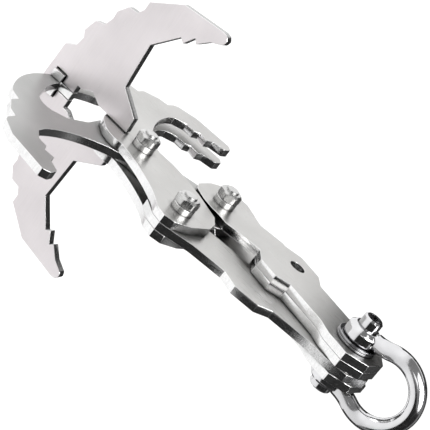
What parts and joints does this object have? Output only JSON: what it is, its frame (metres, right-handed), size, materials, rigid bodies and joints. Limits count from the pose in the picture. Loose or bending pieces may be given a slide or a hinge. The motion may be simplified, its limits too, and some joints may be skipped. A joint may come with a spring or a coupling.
{
  "type": "grapnel anchor",
  "caption": "Folding stainless plate grapnel anchor with scissor claws, a cross claw, pivoting links and a bow shackle.",
  "frame": {"origin": "centre of the shackle's eye, where the line is made fast", "axes": "+Z from the claws to the shackle, +Y along every pivot towards the nuts, +X towards the twin-plate claw"},
  "size_m": [0.1214, 0.11, 0.1785],
  "materials": {
    "claw_plate": "brushed laser-cut stainless plate",
    "cross_plate": "light satin stainless plate",
    "link_plate": "brushed laser-cut stainless plate",
    "pivot_hardware": "turned stainless bolts and nuts",
    "shackle_polish": "polished stainless",
    "washer_steel": "plain stainless washer"
  },
  "bodies": {
    "shackle": {"shackle_bow": "shackle_polish", "shackle_pin": "shackle_polish", "pin_nut": "shackle_polish"},
    "washers": {"washer_lower": "washer_steel", "washer_upper": "washer_steel"},
    "link_a": {"link_a_top": "link_plate", "link_a_spacer": "link_plate", "link_a_bottom": "link_plate", "bolt_claw_a": "pivot_hardware", "jam_nut_claw_a": "pivot_hardware", "nut_claw_a": "pivot_hardware"},
    "link_b": {"link_b": "link_plate"},
    "claw_a": {"claw_a": "claw_plate"},
    "claw_b": {"claw_b_top": "claw_plate", "claw_b_bottom": "claw_plate", "bolt_claw_b": "pivot_hardware", "jam_nut_claw_b": "pivot_hardware", "nut_claw_b": "pivot_hardware", "bolt_centre": "pivot_hardware", "jam_nut_centre": "pivot_hardware", "nut_centre": "pivot_hardware"},
    "cross_claw": {"cross_claw": "cross_plate"}
  },
  "joints": [
    {"name": "shackle_swing", "type": "hinge", "parent": "shackle", "child": "washers", "pos_m": [0, 0, -0.016], "axis": [0, 1, 0], "range_deg": [-100, 100]},
    {"name": "link_a_fold", "type": "hinge", "parent": "washers", "child": "link_a", "pos_m": [0, 0, -0.016], "axis": [0, -1, 0], "range_deg": [0, 6]},
    {"name": "link_b_fold", "type": "hinge", "parent": "washers", "child": "link_b", "pos_m": [0, 0, -0.016], "axis": [0, -1, 0], "range_deg": [-6, 0]},
    {"name": "claw_a_swing", "type": "hinge", "parent": "link_a", "child": "claw_a", "pos_m": [0.015, 0, -0.0855], "axis": [0, -1, 0], "range_deg": [-20.55, 0]},
    {"name": "claw_b_swing", "type": "hinge", "parent": "link_b", "child": "claw_b", "pos_m": [-0.015, 0, -0.0855], "axis": [0, -1, 0], "range_deg": [0, 20.55]},
    {"name": "cross_claw_turn", "type": "hinge", "parent": "claw_a", "child": "cross_claw", "pos_m": [0, 0, -0.116], "axis": [0, -1, 0], "range_deg": [0, 14.55]}
  ],
  "couplings": [
    {"joint": "link_b_fold", "follows": "link_a_fold", "ratio": -1},
    {"joint": "claw_a_swing", "follows": "link_a_fold", "ratio": -3.425},
    {"joint": "claw_b_swing", "follows": "link_a_fold", "ratio": 3.425},
    {"joint": "cross_claw_turn", "follows": "link_a_fold", "ratio": 2.425}
  ]
}
